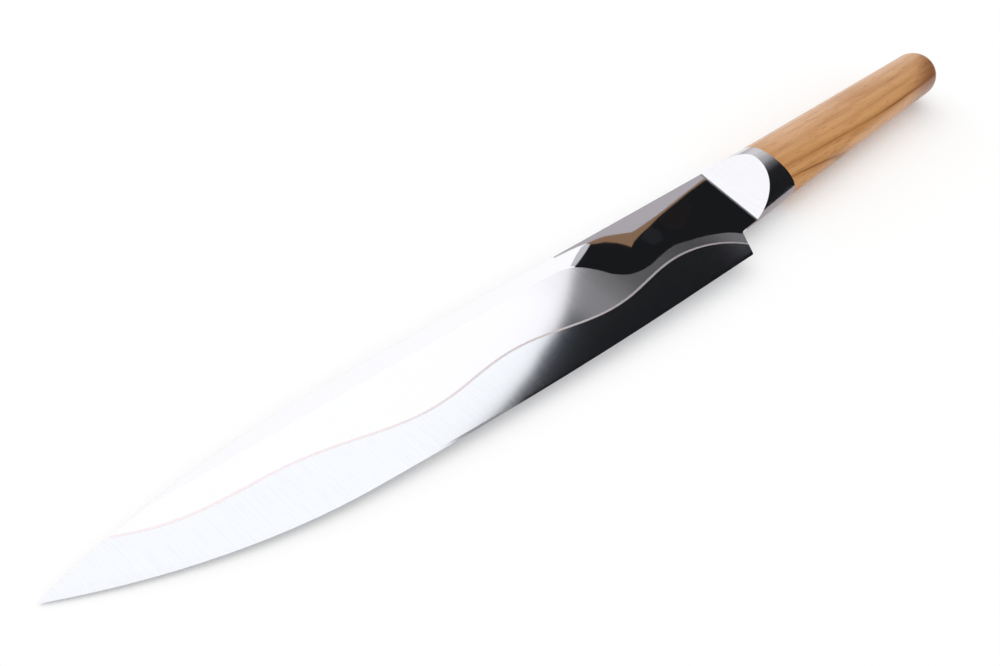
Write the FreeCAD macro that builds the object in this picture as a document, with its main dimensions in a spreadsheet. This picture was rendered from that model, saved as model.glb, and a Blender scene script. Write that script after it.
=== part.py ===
import FreeCAD, Part
import Sketcher

import math
import os

# Carving knife with a composite blade, a bolster with two flat cheeks and an oval wood handle.
# Frame, in millimetres: the origin lies on the blade's middle plane, where the spine line meets
# the front of the bolster. +X runs to the butt, -X to the tip, +Y to the spine, -Y to the cutting
# edge, and +Z out of the blade's left face. Nothing on the knife moves.

# Driving dimensions: alias, millimetres or degrees, what the size is.
SIZES = [
    ("cutting_length", 230.0, "heel corner to tip, along the spine line"),
    ("heel_depth", 36.4, "spine line to the straight part of the cutting edge"),
    ("heel_setback", 21.3, "bolster front to heel corner"),
    ("heel_round", 0.8, "radius of the heel corner"),
    ("neck_length", 14.8, "bolster front to the bottom of the choil"),
    ("neck_depth", 27.5, "spine line to the bottom of the choil"),
    ("choil_radius", 2.0, "radius inside the choil"),
    ("tip_drop", 12.1, "spine line down to the tip"),
    ("spine_straight", 164.5, "bolster front to where the spine starts to fall"),
    ("edge_straight", 40.0, "straight cutting edge ahead of the heel"),
    ("edge_radius", 1800.0, "shallow curve of the middle of the edge"),
    ("belly_length", 75.0, "tip back to where the shallow curve ends"),
    ("spine_thickness", 2.5, "blade thickness on the spine at the bolster"),
    ("point_thickness", 2.0, "blade thickness on the spine line at the tip's station"),
    ("edge_thickness", 0.5, "blade thickness behind the bevel at the heel"),
    ("bevel_angle", 15.0, "slope of each sharpened bevel from the middle plane"),
    ("seam_height", 11.5, "mean height of the wavy seam over the cutting edge, at the heel"),
    ("seam_rise", 1.3, "gain in that mean height from one crest to the next"),
    ("seam_wave", 2.1, "crests and troughs of the seam from that mean"),
    ("seam_pitch", 72.0, "crest to crest along the seam"),
    ("seam_crest", 21.5, "heel corner to the first crest"),
    ("seam_drop", 4.2, "how far the seam has fallen at the heel corner"),
    ("seam_drop_reach", 7.0, "length over which that fall dies out"),
    ("seam_width", 0.7, "visible width of the brazed seam"),
    ("weld_length", 0.8, "weld between the blade's neck and the bolster"),
    ("socket_depth", 12.0, "socket for the tang in the back of the bolster"),
    ("solder_gap", 0.2, "solder round the tang in that socket"),
    ("tang_length", 80.0, "tang bar, end to end"),
    ("tang_height", 11.0, "tang bar at the bolster"),
    ("tang_end_height", 8.0, "tang bar at its far end"),
    ("tang_thickness", 2.0, "tang bar thickness"),
    ("key_diameter", 4.0, "holes in the tang that the bedding keys into"),
    ("key_pitch", 22.0, "distance between those two holes"),
    ("key_inset", 14.0, "far end of the tang to the nearer hole"),
    ("bolster_length", 21.5, "bolster front on the spine line to the wood"),
    ("bolster_height", 26.8, "bolster and blade neck at the foot of the bolster's front"),
    ("bolster_slant", 9.9, "slope of the bolster's front from square, its foot nearer the tip"),
    ("bolster_lip", 0.12, "bolster standing proud of the blade at its front"),
    ("cheek_angle", 20.5, "slope of each flat cheek from the blade's face"),
    ("ring_height", 24.6, "bolster and handle where they meet"),
    ("ring_crown", 9.1, "top of the bolster and handle there, down to their thickest line"),
    ("ring_thickness", 15.1, "bolster and handle on that line"),
    ("handle_length", 125.4, "wood, bolster to the foot of the butt"),
    ("handle_rise", 1.5, "top of the butt over the spine line"),
    ("butt_diameter", 18.0, "round section just before the butt's rounding"),
    ("butt_radius", 8.2, "rounding of the butt"),
    ("butt_slant", 5.0, "slope of the butt's end from square, its top nearer the tip"),
    ("bed_gap", 1.2, "bedding thickness round the tang"),
]

SUB_PARTS = [
    "blade_body",
    "edge_strip",
    "braze_seam",
    "neck_weld",
    "bolster",
    "tang_bar",
    "tang_solder",
    "handle",
    "tang_bedding",
]

START, END, CENTRE = 1, 2, 3
ORIGIN = (-1, 1)
SPARE = 12.0

doc = FreeCAD.newDocument("carving_knife")
vector = FreeCAD.Vector


def write_sheet():
    """Put every driving dimension in the sheet under its own alias."""
    sheet = doc.addObject("Spreadsheet::Sheet", "Sizes")
    for row, (alias, amount, meaning) in enumerate(SIZES, start=1):
        sheet.set(f"A{row}", alias)
        sheet.set(f"B{row}", str(amount))
        sheet.setAlias(f"B{row}", alias)
        sheet.set(f"C{row}", meaning)
    doc.recompute()
    return sheet


sizes = write_sheet()

# Lines that several pieces share, as formulas of the driving dimensions.
TIP_X = "(Sizes.heel_setback + Sizes.cutting_length)"
FRONT_LEAN = "tan(Sizes.bolster_slant * 1 deg)"
FOOT_X = f"(Sizes.bolster_height * {FRONT_LEAN})"
BUTT_LEAN = "tan(Sizes.butt_slant * 1 deg)"
SOCKET_X = "(Sizes.bolster_length - Sizes.socket_depth)"
TANG_START = f"({SOCKET_X} + Sizes.solder_gap)"
TANG_END = f"({TANG_START} + Sizes.tang_length)"
EDGE_SLOPE = "((Sizes.spine_thickness - Sizes.edge_thickness) / 2 / Sizes.heel_depth)"
TIP_SLOPE = f"((Sizes.spine_thickness - Sizes.point_thickness) / 2 / {TIP_X})"
AXIS_SLOPE = (
    "((Sizes.handle_rise - Sizes.butt_diameter / 2 + Sizes.ring_height / 2) / Sizes.handle_length)"
)
TANG_END_DEPTH = (
    f"(Sizes.ring_height / 2 - ({TANG_END} - Sizes.bolster_length) * {AXIS_SLOPE})"
)


def value(formula):
    """Work out a formula of the sheet's sizes as a plain number."""
    return float(sizes.evalExpression(formula))


def bind(item, **formulas):
    """Bind properties of an object to formulas; double underscores stand for dots."""
    for name, formula in formulas.items():
        item.setExpression(name.replace("__", "."), formula)
    return item


class Outline:
    """A sketch in a body, drawn in place and then held by bound constraints."""

    def __init__(self, body, name, role, offset=None):
        plane = next(item for item in body.Origin.OriginFeatures if item.Role == role)
        self.sketch = body.newObject("Sketcher::SketchObject", name)
        self.sketch.AttachmentSupport = [(plane, "")]
        self.sketch.MapMode = "FlatFace"
        if offset:
            self.sketch.setExpression("AttachmentOffset.Base.z", offset)
        doc.recompute()

    def line(self, start, end):
        return self.sketch.addGeometry(Part.LineSegment(vector(*start, 0), vector(*end, 0)))

    def arc(self, centre, radius, first, last):
        circle = Part.Circle(vector(*centre, 0), vector(0, 0, 1), radius)
        return self.sketch.addGeometry(Part.ArcOfCircle(circle, first, last))

    def circle(self, centre, radius):
        return self.sketch.addGeometry(Part.Circle(vector(*centre, 0), vector(0, 0, 1), radius))

    def polygon(self, points):
        """Draw a closed chain of lines; line i starts at point i."""
        lines = [self.line(start, end) for start, end in zip(points, points[1:] + points[:1])]
        for line, following in zip(lines, lines[1:] + lines[:1]):
            self.hold("Coincident", line, END, following, START)
        return lines

    def hold(self, kind, *where):
        self.sketch.addConstraint(Sketcher.Constraint(kind, *where))

    def size(self, name, formula, kind, *where):
        """Add a dimension and bind it to a formula."""
        index = self.sketch.addConstraint(Sketcher.Constraint(kind, *where, value(formula)))
        self.sketch.renameConstraint(index, name)
        self.sketch.setExpression(f"Constraints.{name}", formula)

    def place(self, name, line, end, right=None, up=None):
        """Fix one end of a line by its distances from the origin; formulas are positive lengths."""
        point = (line, end)
        spot = self.sketch.getPoint(*point)
        for kind, formula, coordinate in (("DistanceX", right, spot.x), ("DistanceY", up, spot.y)):
            if formula is None:
                self.hold("PointOnObject", *point, -2 if kind == "DistanceX" else -1)
                continue
            ends = (*ORIGIN, *point) if coordinate > 0 else (*point, *ORIGIN)
            self.size(f"{name}_{'x' if kind == 'DistanceX' else 'y'}", formula, kind, *ends)


def new_body(label):
    body = doc.addObject("PartDesign::Body", label)
    body.Label = label
    return body


def pad(body, outline, name, length):
    """Pad a sketch by the same amount to both sides."""
    feature = body.newObject("PartDesign::Pad", name)
    feature.Profile = outline.sketch
    feature.SideType = "Symmetric"
    return bind(feature, Length=length)


def pocket(body, outline, name, length):
    """Cut a sketch through by the same amount to both sides."""
    feature = body.newObject("PartDesign::Pocket", name)
    feature.Profile = outline.sketch
    feature.SideType = "Symmetric"
    return bind(feature, Length=length)


def fillet(body, name, radius, wanted):
    """Round every edge of the body that passes a test."""
    base = body.Tip
    edges = [
        f"Edge{number}"
        for number, edge in enumerate(base.Shape.Edges, start=1)
        if wanted(edge)
    ]
    rounding = body.newObject("PartDesign::Fillet", name)
    rounding.Base = (base, edges)
    bind(rounding, Radius=radius)
    doc.recompute()
    return rounding


def combine(kind, name, base, tool):
    """Make a two-object boolean."""
    result = doc.addObject(f"Part::{kind}", name)
    result.Base = base
    result.Tool = tool
    result.Label = name
    return result


class EdgeLine:
    """The cutting edge in side view: a straight run, a shallow arc and the belly's arc to the tip."""

    def __init__(self):
        self.heel_x = -value("Sizes.heel_setback")
        self.level = -value("Sizes.heel_depth")
        self.tip = (-value(TIP_X), -value("Sizes.tip_drop"))
        self.shallow_radius = value("Sizes.edge_radius")
        self.straight_end = self.heel_x - value("Sizes.edge_straight")
        self.belly_x = self.tip[0] + value("Sizes.belly_length")
        self.turn = math.asin((self.straight_end - self.belly_x) / self.shallow_radius)
        self.belly_y = self.level + self.shallow_radius * (1 - math.cos(self.turn))
        inward = (math.sin(self.turn), math.cos(self.turn))
        reach = (self.tip[0] - self.belly_x, self.tip[1] - self.belly_y)
        lean = reach[0] * inward[0] + reach[1] * inward[1]
        self.belly_radius = (reach[0] ** 2 + reach[1] ** 2) / (2 * lean)
        self.belly_centre = (
            self.belly_x + self.belly_radius * inward[0],
            self.belly_y + self.belly_radius * inward[1],
        )
        across = self.tip[0] - self.belly_centre[0]
        rise = self.tip[1] - self.belly_centre[1]
        self.tip_angle = math.atan2(rise, across) % (2 * math.pi)

    def height(self, x):
        """Height of the edge at a station, carried on past both ends."""
        if x >= self.straight_end:
            return self.level
        if x >= self.belly_x:
            return self.level + self.shallow_radius - math.sqrt(
                self.shallow_radius**2 - (self.straight_end - x) ** 2
            )
        return self.belly_centre[1] - math.sqrt(
            self.belly_radius**2 - (x - self.belly_centre[0]) ** 2
        )

    def draw(self, outline, run_out):
        """Add the edge to a sketch, carried past the heel by run_out, and hold it."""
        down = 1.5 * math.pi
        belly = outline.arc(self.belly_centre, self.belly_radius, self.tip_angle, down - self.turn)
        shallow_centre = (self.straight_end, self.level + self.shallow_radius)
        shallow = outline.arc(shallow_centre, self.shallow_radius, down - self.turn, down)
        heel = (self.heel_x + run_out, self.level)
        straight = outline.line((self.straight_end, self.level), heel)
        outline.hold("Tangent", belly, END, shallow, START)
        outline.hold("Tangent", shallow, END, straight, START)
        outline.hold("Horizontal", straight)
        outline.place("tip", belly, START, TIP_X, "Sizes.tip_drop")
        outline.size("belly", "Sizes.belly_length", "DistanceX", belly, START, belly, END)
        outline.size("shallow", "Sizes.edge_radius", "Radius", shallow)
        outline.size("straight", f"Sizes.edge_straight + {run_out}", "Distance", straight)
        outline.size("depth", "Sizes.heel_depth", "DistanceY", straight, END, *ORIGIN)
        return belly, straight


edge_line = EdgeLine()


def blade_plate():
    """Blade blank with its neck, as one flat plate."""
    body = new_body("blade_plate")
    outline = Outline(body, "blade_outline", "XY_Plane")
    belly, straight = edge_line.draw(outline, 0.0)
    spine_end = (-value("Sizes.spine_straight"), 0.0)
    tip = edge_line.tip
    drop = value("Sizes.tip_drop")
    fall = spine_end[0] - tip[0]
    spine_radius = (fall**2 + drop**2) / (2 * drop)
    quarter = 0.5 * math.pi
    spine_arc = outline.arc(
        (spine_end[0], -spine_radius), spine_radius, quarter, quarter + math.asin(fall / spine_radius)
    )
    corners = [
        (edge_line.heel_x, edge_line.level),
        (-value("Sizes.neck_length"), -value("Sizes.neck_depth")),
        (-value(FOOT_X), -value("Sizes.bolster_height")),
        (0.0, 0.0),
        spine_end,
    ]
    lines = [outline.line(start, end) for start, end in zip(corners, corners[1:])]
    heel, neck, root, spine = lines
    for line, following in zip(lines, lines[1:]):
        outline.hold("Coincident", line, END, following, START)
    outline.hold("Coincident", straight, END, heel, START)
    outline.hold("Tangent", spine, END, spine_arc, START)
    outline.hold("Coincident", spine_arc, END, belly, START)
    outline.hold("Coincident", spine, START, *ORIGIN)
    outline.hold("Horizontal", spine)
    outline.size("spine_run", "Sizes.spine_straight", "Distance", spine)
    outline.size("setback", "Sizes.heel_setback", "DistanceX", heel, START, *ORIGIN)
    outline.place("choil", heel, END, "Sizes.neck_length", "Sizes.neck_depth")
    outline.place("root", root, START, FOOT_X, "Sizes.bolster_height")
    pad(body, outline, "plate", "2 * Sizes.spine_thickness")
    doc.recompute()
    for name, corner in (("choil_radius", corners[1]), ("heel_round", corners[0])):
        fillet(
            body,
            name,
            f"Sizes.{name}",
            lambda edge: all(math.dist((v.X, v.Y), corner) < 1e-4 for v in edge.Vertexes),
        )
    return body


def ground_face(name, side):
    """Stock ground off one side, 1 for left or -1 for right; the face tapers to edge and tip."""
    block = doc.addObject("Part::Box", name)
    bind(
        block,
        Length=f"{TIP_X} + 4 * {SPARE}",
        Width=f"Sizes.heel_depth + 4 * {SPARE}",
        Height="2 * Sizes.spine_thickness",
    )
    normal = vector(-side * value(TIP_SLOPE), -side * value(EDGE_SLOPE), 1)
    lean = FreeCAD.Rotation(vector(0, 0, 1), normal)
    depth = 0.0 if side > 0 else -2 * value("Sizes.spine_thickness")
    corner = vector(-value(TIP_X) - 2 * SPARE, -value("Sizes.heel_depth") - 2 * SPARE, depth)
    level = vector(0, 0, side * value("Sizes.spine_thickness") / 2)
    block.Placement = FreeCAD.Placement(level + lean.multVec(corner), lean)
    return block


def bevel_stock():
    """Everything that lies inside both sharpened bevels."""
    body = new_body("bevel_stock")
    outline = Outline(body, "bevel_outline", "XY_Plane")
    run_out = value("Sizes.heel_setback") + 2 * SPARE
    belly, straight = edge_line.draw(outline, run_out)
    tip = edge_line.tip
    heading = edge_line.tip_angle - 0.5 * math.pi
    past = (tip[0] + SPARE * math.cos(heading), tip[1] + SPARE * math.sin(heading))
    top = 2 * SPARE
    back = edge_line.heel_x + run_out
    tail = outline.line(past, tip)
    front = outline.line((past[0], top), past)
    roof = outline.line((back, top), (past[0], top))
    rear = outline.line((back, edge_line.level), (back, top))
    outline.hold("Tangent", tail, END, belly, START)
    for line, following in ((straight, rear), (rear, roof), (roof, front), (front, tail)):
        outline.hold("Coincident", line, END, following, START)
    outline.hold("Vertical", rear)
    outline.hold("Horizontal", roof)
    outline.hold("Vertical", front)
    outline.size("run_in", f"{SPARE}", "Distance", tail)
    outline.size("setback", f"{run_out} - Sizes.heel_setback", "DistanceX", *ORIGIN, straight, END)
    outline.size("roof", f"{top}", "DistanceY", *ORIGIN, roof, START)
    stock = body.newObject("PartDesign::Pad", "bevels")
    stock.Profile = outline.sketch
    stock.SideType = "Two sides"
    bind(
        stock,
        Length="Sizes.spine_thickness",
        Length2="Sizes.spine_thickness",
        TaperAngle="Sizes.bevel_angle - 90",
        TaperAngle2="Sizes.bevel_angle - 90",
    )
    doc.recompute()
    return body


def seam_line(shift):
    """Wavy seam as a smooth curve from behind the heel to past the spine, shifted to one side."""
    height = value("Sizes.seam_height")
    wave = value("Sizes.seam_wave")
    rise = value("Sizes.seam_rise")
    pitch = value("Sizes.seam_pitch")
    crest = value("Sizes.seam_crest")
    drop = value("Sizes.seam_drop")
    reach = value("Sizes.seam_drop_reach")
    behind = value("Sizes.heel_setback - Sizes.neck_length + Sizes.choil_radius")
    span = value("Sizes.cutting_length") + behind
    count = 60

    def spot(ahead):
        x = edge_line.heel_x - ahead
        swing = wave * math.cos(2 * math.pi * (ahead - crest) / pitch) + rise * ahead / pitch
        fall = drop * math.exp(-ahead / reach)
        return vector(x, edge_line.height(max(x, edge_line.tip[0])) + height + swing - fall, 0)

    points = []
    for number in range(count + 1):
        ahead = -behind + span * (number / count) ** 1.2
        run = spot(ahead + 0.05) - spot(ahead - 0.05)
        across = vector(run.y, -run.x, 0).normalize()
        points.append(spot(ahead) + across * shift)
    curve = Part.BSplineCurve()
    curve.interpolate(points)
    return curve.toShape(), points[0], points[-1]


def blade_region(name, boundary):
    """Prism through the blade, from a closed chain of edges."""
    depth = 2 * value("Sizes.spine_thickness")
    region = doc.addObject("Part::Feature", name)
    face = Part.Face(Part.Wire(Part.__sortEdges__(boundary)))
    region.Shape = face.extrude(vector(0, 0, 2 * depth))
    region.Placement = FreeCAD.Placement(vector(0, 0, -depth), FreeCAD.Rotation())
    return region


def chain(*points):
    return [Part.makeLine(start, end) for start, end in zip(points, points[1:])]


def blade_pieces():
    """Split the ground blade into body, edge strip, the seam between them and the neck's weld."""
    left = combine("Cut", "left_ground", blade_plate(), ground_face("left_stock", 1))
    both = combine("Cut", "both_ground", left, ground_face("right_stock", -1))
    ground = combine("Common", "sharpened", both, bevel_stock())
    half = value("Sizes.seam_width") / 2
    upper, upper_rear, upper_front = seam_line(half)
    lower, lower_rear, lower_front = seam_line(-half)
    top = max(upper_front.y, lower_front.y, 0.0) + SPARE
    floor = min(upper_rear.y, lower_rear.y, edge_line.level) - SPARE
    lean = value(FRONT_LEAN)
    weld = value("Sizes.weld_length")
    ahead = edge_line.tip[0] - SPARE
    over = chain(
        upper_front,
        vector(upper_front.x, top, 0),
        vector(lean * top - weld, top, 0),
        vector(lean * upper_rear.y - weld, upper_rear.y, 0),
        upper_rear,
    )
    under = chain(
        lower_front,
        vector(lower_front.x, top, 0),
        vector(ahead, top, 0),
        vector(ahead, floor, 0),
        vector(lower_rear.x, floor, 0),
        lower_rear,
    )
    combine("Common", "blade_body", ground, blade_region("over_seam", [upper] + over))
    combine("Common", "edge_strip", ground, blade_region("under_seam", [lower] + under))
    ends = chain(upper_rear, lower_rear) + chain(upper_front, lower_front)
    combine("Common", "braze_seam", ground, blade_region("along_seam", [upper, lower] + ends))
    behind_neck = chain(
        vector(lean * top - weld, top, 0),
        vector(SPARE, top, 0),
        vector(SPARE, floor, 0),
        vector(lean * floor - weld, floor, 0),
        vector(lean * top - weld, top, 0),
    )
    combine("Common", "neck_weld", ground, blade_region("weld_zone", behind_neck))


def oval(name, x, height, crown, thickness, top, lean="0"):
    """Oval section with its foot at a station: two half ellipses, joined on its thickest line."""
    half = Part.Arc(vector(0, 0, 1), vector(0, 1, 0), vector(0, 0, -1)).toShape()
    side = value(f"{thickness} / 2")
    level = value(f"{top} - {crown}")
    slope = value(lean)
    station = value(f"{x} - {lean} * ({height} - {crown})")
    halves = []
    for reach in (value(crown), value(f"{crown} - {height}")):
        stretch = FreeCAD.Matrix(
            1, -slope * reach, 0, station, 0, reach, 0, level, 0, 0, side, 0, 0, 0, 0, 1
        )
        halves.append(half.transformGeometry(stretch))
    section = doc.addObject("Part::Feature", name)
    section.Shape = Part.Wire(Part.__sortEdges__(halves))
    return section


def ring_oval(name):
    """Section where bolster and handle meet."""
    return oval(
        name, "Sizes.bolster_length", "Sizes.ring_height", "Sizes.ring_crown", "Sizes.ring_thickness", "0"
    )


def loft(name, sections):
    skin = doc.addObject("Part::Loft", name)
    skin.Sections = sections
    skin.Solid = True
    skin.Ruled = True
    doc.recompute()
    return skin


def bolster():
    """Oval bolster with a slanted front, two flat cheeks and a socket for the tang."""
    front_crown = "(Sizes.ring_crown * Sizes.bolster_height / Sizes.ring_height)"
    front = oval(
        "bolster_front", f"-{FOOT_X}", "Sizes.bolster_height", front_crown, "Sizes.ring_thickness", "0"
    )
    ring = ring_oval("bolster_ring")
    body = new_body("bolster")
    body.BaseFeature = loft("bolster_blank", [front, ring])
    doc.recompute()

    slant = Outline(body, "front_outline", "XY_Plane")
    ahead = f"({FOOT_X} + {SPARE})"
    under = f"(Sizes.bolster_height + {SPARE})"
    lean = value(FRONT_LEAN)
    top_spot = (lean * SPARE, SPARE)
    foot_spot = (-lean * value(under), -value(under))
    line, base, face, roof = slant.polygon(
        [top_spot, foot_spot, (-value(ahead), foot_spot[1]), (-value(ahead), SPARE)]
    )
    slant.place("top", line, START, f"{SPARE} * {FRONT_LEAN}", f"{SPARE}")
    slant.place("foot", line, END, f"{under} * {FRONT_LEAN}", under)
    slant.place("ahead_low", base, END, ahead, under)
    slant.place("ahead_high", face, END, ahead, f"{SPARE}")
    pocket(body, slant, "slanted_front", "4 * Sizes.ring_thickness")
    doc.recompute()

    cheek_start = "(Sizes.spine_thickness / 2 + Sizes.bolster_lip)"
    cheek_reach = "(2 * Sizes.bolster_length)"
    cheek_rise = f"{cheek_reach} * tan(Sizes.cheek_angle * 1 deg)"
    cheek = Outline(body, "cheek_outline", "XZ_Plane")
    # The cut runs along the foot of the cheek, down the slanted front and the tapering blade.
    run = vector(-lean, -value(EDGE_SLOPE) - lean * value(TIP_SLOPE), 1)
    cheek.sketch.AttachmentOffset = FreeCAD.Placement(
        vector(), FreeCAD.Rotation(vector(0, 0, 1), run)
    )
    low = value(cheek_start)
    top = low + value(cheek_rise)
    level, slope, roof, face = cheek.polygon(
        [(-SPARE, low), (0.0, low), (value(cheek_reach), top), (-SPARE, top)]
    )
    cheek.place("start", slope, START, None, cheek_start)
    cheek.size("reach", cheek_reach, "DistanceX", slope, START, slope, END)
    cheek.size("rise", cheek_rise, "DistanceY", slope, START, slope, END)
    cheek.size("run_out", f"{SPARE}", "DistanceX", level, START, level, END)
    cheek.hold("Horizontal", level)
    cheek.hold("Horizontal", roof)
    cheek.hold("Vertical", face)
    cut = pocket(body, cheek, "left_cheek", "4 * Sizes.bolster_height")
    doc.recompute()
    mirror = body.newObject("PartDesign::Mirrored", "right_cheek")
    mirror.Originals = [cut]
    plane = next(item for item in body.Origin.OriginFeatures if item.Role == "XY_Plane")
    mirror.MirrorPlane = (plane, [""])
    body.Tip = mirror
    doc.recompute()

    socket = Outline(body, "socket_outline", "YZ_Plane", "Sizes.bolster_length")
    draw_socket(socket)
    hollow = body.newObject("PartDesign::Pocket", "tang_socket")
    hollow.Profile = socket.sketch
    bind(hollow, Length="Sizes.socket_depth")
    doc.recompute()
    return body


def draw_socket(socket):
    """Upright slot round the tang, on the handle's axis."""
    half_height = "(Sizes.tang_height / 2 + Sizes.solder_gap)"
    low = f"(Sizes.ring_height / 2 + {half_height})"
    high = f"(Sizes.ring_height / 2 - {half_height})"
    side = "(Sizes.tang_thickness / 2 + Sizes.solder_gap)"
    bottom, top, half = -value(low), -value(high), value(side)
    right, roof, left, base = socket.polygon(
        [(bottom, -half), (top, -half), (top, half), (bottom, half)]
    )
    socket.place("low", right, START, low, side)
    socket.place("high", roof, END, high, side)
    socket.hold("Horizontal", right)
    socket.hold("Vertical", roof)
    socket.hold("Horizontal", left)
    socket.hold("Vertical", base)


def draw_tang(outline, begin, margin):
    """Tang in side view: level inside the bolster, then tapering along the handle's axis."""
    start = value(begin)
    bend = value("Sizes.bolster_length")
    finish = value(f"{TANG_END} + {margin}")
    axis = value("Sizes.ring_height / 2")
    end_axis = value(TANG_END_DEPTH)
    half = value(f"Sizes.tang_height / 2 + {margin}")
    end_half = value(f"Sizes.tang_end_height / 2 + {margin}")
    points = [
        (bend, -axis - half),
        (finish, -end_axis - end_half),
        (finish, -end_axis + end_half),
        (bend, -axis + half),
    ]
    level = start < bend - 1e-6
    if level:
        points += [(start, -axis + half), (start, -axis - half)]
    lines = outline.polygon(points)
    low = f"Sizes.ring_height / 2 + Sizes.tang_height / 2 + {margin}"
    high = f"Sizes.ring_height / 2 - Sizes.tang_height / 2 - {margin}"
    outline.place("bend_low", lines[0], START, "Sizes.bolster_length", low)
    outline.place("end_low", lines[1], START, f"{TANG_END} + {margin}",
                  f"{TANG_END_DEPTH} + Sizes.tang_end_height / 2 + {margin}")
    outline.place("end_high", lines[2], START, f"{TANG_END} + {margin}",
                  f"{TANG_END_DEPTH} - Sizes.tang_end_height / 2 - {margin}")
    outline.place("bend_high", lines[3], START, "Sizes.bolster_length", high)
    if level:
        outline.place("start_high", lines[4], START, begin, high)
        outline.place("start_low", lines[5], START, begin, low)


def tang_bar():
    """Bar soldered into the bolster, with two holes for the bedding to key into."""
    body = new_body("tang_bar")
    outline = Outline(body, "tang_outline", "XY_Plane")
    draw_tang(outline, TANG_START, "0")
    pad(body, outline, "bar", "Sizes.tang_thickness")
    doc.recompute()
    keys = Outline(body, "key_outline", "XY_Plane")
    near = f"({TANG_END} - Sizes.key_inset)"
    for number, station in enumerate((near, f"({near} - Sizes.key_pitch)")):
        depth = f"(Sizes.ring_height / 2 - ({station} - Sizes.bolster_length) * {AXIS_SLOPE})"
        hole = keys.circle((value(station), -value(depth)), value("Sizes.key_diameter") / 2)
        keys.size(f"key_{number}", "Sizes.key_diameter / 2", "Radius", hole)
        keys.place(f"key_{number}", hole, CENTRE, station, depth)
    pocket(body, keys, "key_holes", "4 * Sizes.tang_thickness")
    doc.recompute()
    return body


def tang_solder(tang):
    """Solder that fills the bolster's socket round the tang."""
    fill = new_body("socket_fill")
    outline = Outline(fill, "fill_outline", "YZ_Plane", SOCKET_X)
    draw_socket(outline)
    block = fill.newObject("PartDesign::Pad", "socket_block")
    block.Profile = outline.sketch
    bind(block, Length="Sizes.socket_depth")
    doc.recompute()
    return combine("Cut", "tang_solder", fill, tang)


def handle():
    """One-piece oval wood handle with a slanted, rounded butt and a blind mortise for the tang."""
    end = "(Sizes.bolster_length + Sizes.handle_length)"
    round_half = "(Sizes.butt_diameter / 2)"
    butt = oval(
        "handle_butt",
        end,
        "Sizes.butt_diameter",
        round_half,
        "Sizes.butt_diameter",
        "Sizes.handle_rise",
        BUTT_LEAN,
    )
    body = new_body("handle")
    body.BaseFeature = loft("handle_blank", [ring_oval("handle_front"), butt])
    doc.recompute()
    rim = value(f"{end} - {BUTT_LEAN} * Sizes.butt_diameter")
    fillet(
        body,
        "butt_rounding",
        "min(Sizes.butt_radius; 0.46 * Sizes.butt_diameter)",
        lambda edge: edge.BoundBox.XMin > rim - 0.01,
    )
    mortise = Outline(body, "mortise_outline", "XY_Plane")
    draw_tang(mortise, "Sizes.bolster_length", "Sizes.bed_gap")
    pocket(body, mortise, "mortise", "Sizes.tang_thickness + 2 * Sizes.bed_gap")
    doc.recompute()
    return body


def tang_bedding(tang):
    """Adhesive that fills the mortise round the tang and through its holes."""
    fill = new_body("mortise_fill")
    outline = Outline(fill, "bedding_outline", "XY_Plane")
    draw_tang(outline, "Sizes.bolster_length", "Sizes.bed_gap")
    pad(fill, outline, "mortise_block", "Sizes.tang_thickness + 2 * Sizes.bed_gap")
    doc.recompute()
    return combine("Cut", "tang_bedding", fill, tang)


def check_and_write():
    """Stop on any failed object, then write each sub-part as one solid."""
    doc.recompute()
    failed = [item.Name for item in doc.Objects if {"Invalid", "Error"} & set(item.State)]
    if failed:
        raise RuntimeError(f"failed objects: {failed}")
    os.makedirs("parts", exist_ok=True)
    shapes = {}
    for label in SUB_PARTS:
        shape = doc.getObjectsByLabel(label)[0].Shape
        if shape.isNull() or not shape.isValid() or len(shape.Solids) != 1:
            raise RuntimeError(f"{label} is not one valid solid")
        shapes[label] = shape.Solids[0]
    for label, shape in shapes.items():
        shape.exportStep(f"parts/{label}.step")
        box = shape.optimalBoundingBox(True, False)
        print(
            f"{label}: {shape.Volume:.1f} mm3, X {box.XMin:.2f} to {box.XMax:.2f}, "
            f"Y {box.YMin:.2f} to {box.YMax:.2f}, Z {box.ZMin:.2f} to {box.ZMax:.2f}"
        )


blade_pieces()
bolster()
tang = tang_bar()
tang_solder(tang)
handle()
tang_bedding(tang)
check_and_write()
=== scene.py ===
"""Looks of a carving knife: finishes, stage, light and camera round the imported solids."""

import logging
import math
from collections.abc import Mapping, Sequence
from dataclasses import dataclass
from enum import Enum
from typing import Any

import bpy
from mathutils import Matrix, Vector

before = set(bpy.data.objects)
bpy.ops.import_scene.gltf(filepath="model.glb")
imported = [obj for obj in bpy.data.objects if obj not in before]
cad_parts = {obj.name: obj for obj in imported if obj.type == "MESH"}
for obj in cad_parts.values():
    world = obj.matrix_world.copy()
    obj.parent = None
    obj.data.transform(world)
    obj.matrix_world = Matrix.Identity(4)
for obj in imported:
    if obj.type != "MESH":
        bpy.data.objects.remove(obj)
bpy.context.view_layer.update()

MM = 0.001

Colour = tuple[float, float, float, float]
Pair = tuple[float, float]
Triple = tuple[float, float, float]
Outline = tuple[Pair, ...]
Shades = tuple[tuple[float, str], ...]

# Scale that turns a place in metres into millimetres.
IN_MM: Triple = (1 / MM, 1 / MM, 1 / MM)
# Sockets of a Mix node that mixes colours.
MIX_FACTOR, MIX_A, MIX_B, MIX_RESULT = 0, 6, 7, 2
# The wave texture turns by this many radians over one unit of its own scale.
WAVE_RATE = 20.0
# Noise that is stretched into ground or rolled lines.
LINES: Mapping[str, float] = {"Scale": 1.0, "Detail": 3.0, "Roughness": 0.6}

log = logging.getLogger("carving_knife")


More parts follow.
